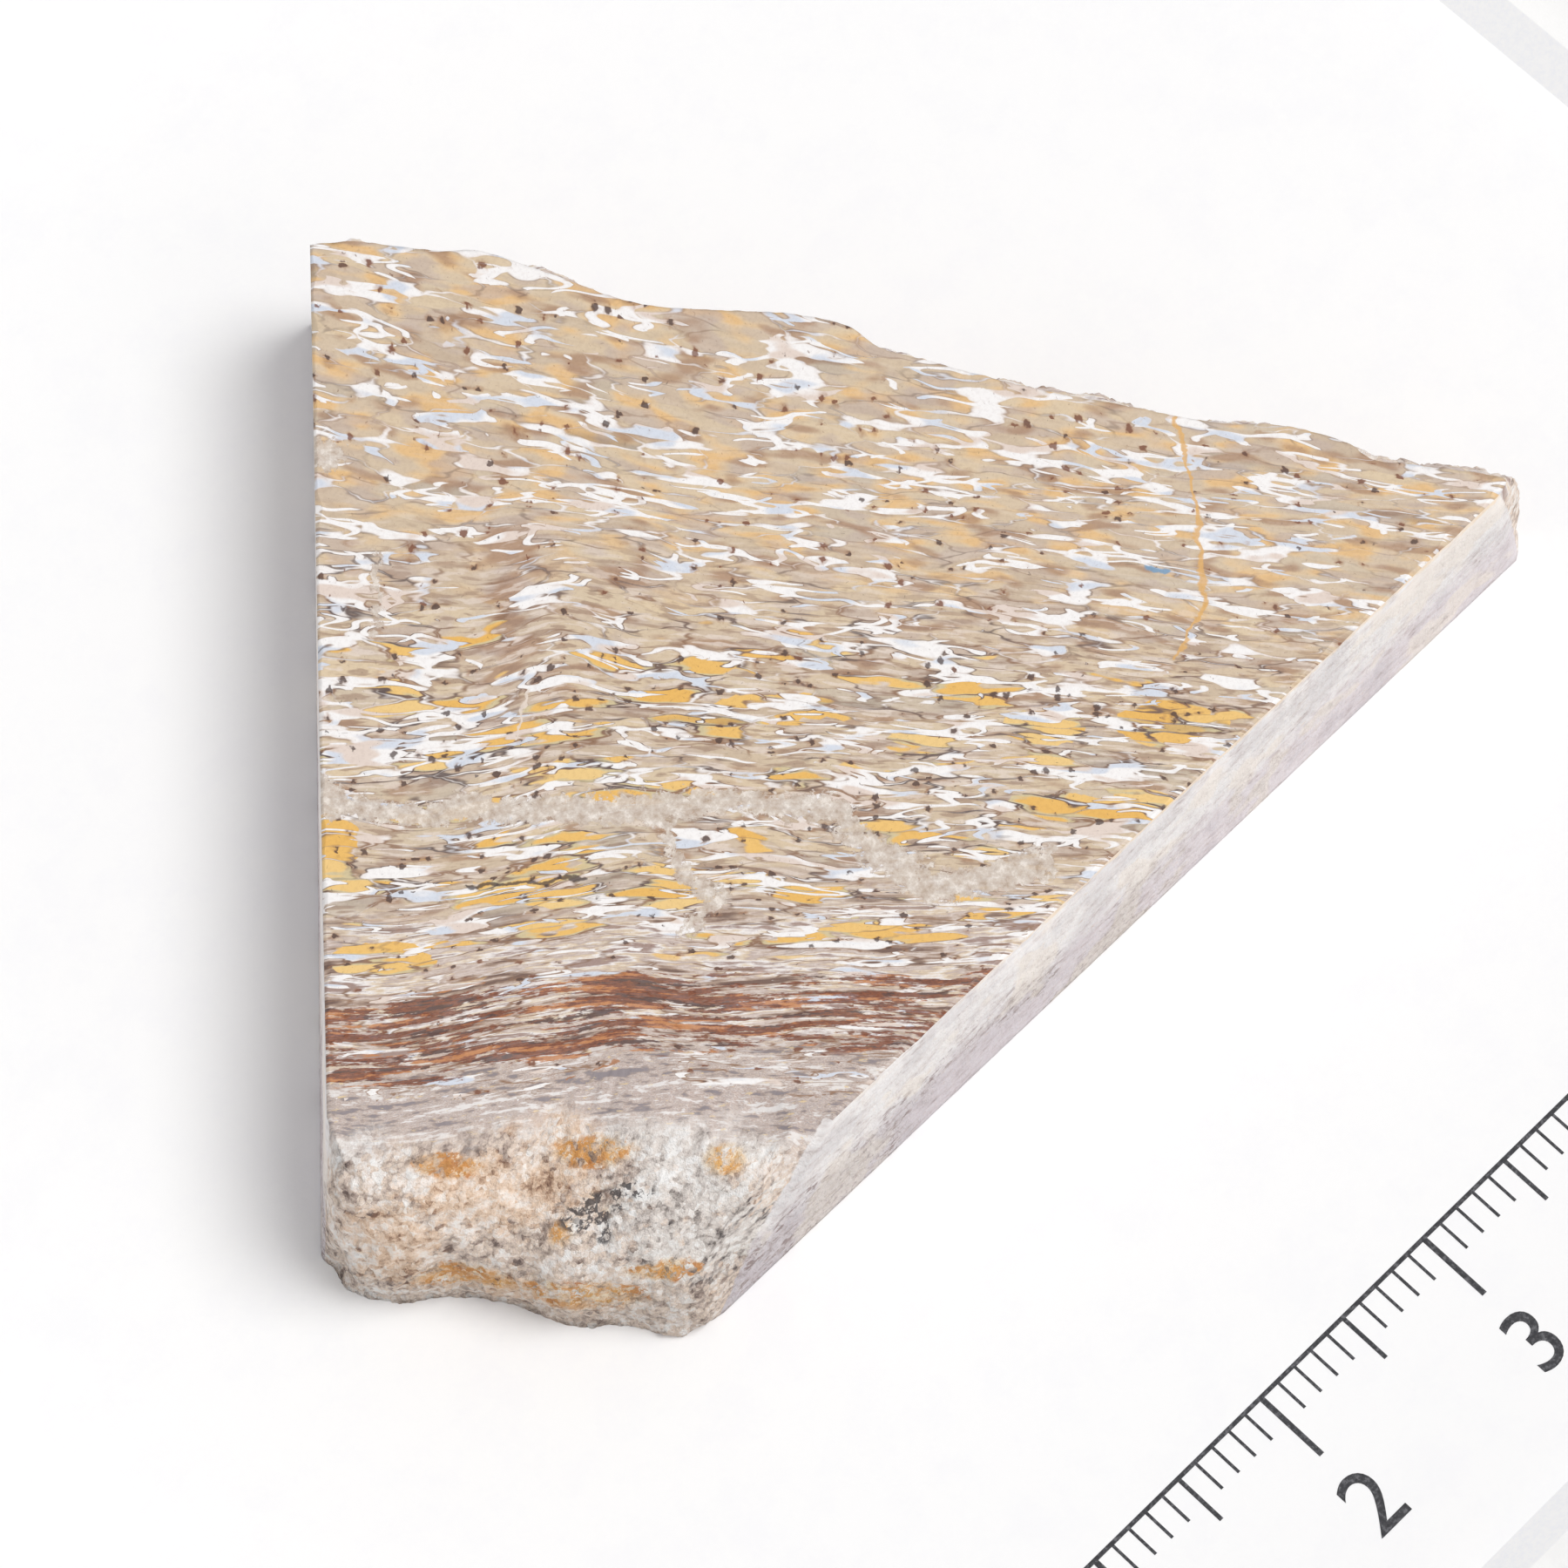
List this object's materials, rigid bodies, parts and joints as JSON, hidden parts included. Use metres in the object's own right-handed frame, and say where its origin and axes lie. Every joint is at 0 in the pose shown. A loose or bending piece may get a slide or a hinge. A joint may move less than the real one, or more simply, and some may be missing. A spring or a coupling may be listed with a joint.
{
  "type": "framed fossil bone slice",
  "caption": "Sawn slice of fossil dinosaur bone on a white card, in a small square white box frame with a bevel-cut mat; it lies on its back or stands on a shelf.",
  "frame": {"origin": "middle of the frame's back, on the plane it lies on", "axes": "+Z out of the picture side, +X along the card's reading direction, +Y towards the card's top"},
  "size_m": [0.15, 0.15, 0.02],
  "materials": {
    "fossil_bone": "satin",
    "white_card": "matte",
    "mat_board": "matte",
    "fibreboard": "matte",
    "white_paint": "satin",
    "clip_steel": "satin"
  },
  "bodies": {
    "root": {"bone_slice": "fossil_bone", "card": "white_card", "mat": "mat_board", "backboard": "fibreboard", "rail_bottom": "white_paint", "rail_right": "white_paint", "rail_top": "white_paint", "rail_left": "white_paint", "clip_bottom": "clip_steel", "clip_right": "clip_steel", "clip_top": "clip_steel", "clip_left": "clip_steel"}
  },
  "joints": []
}
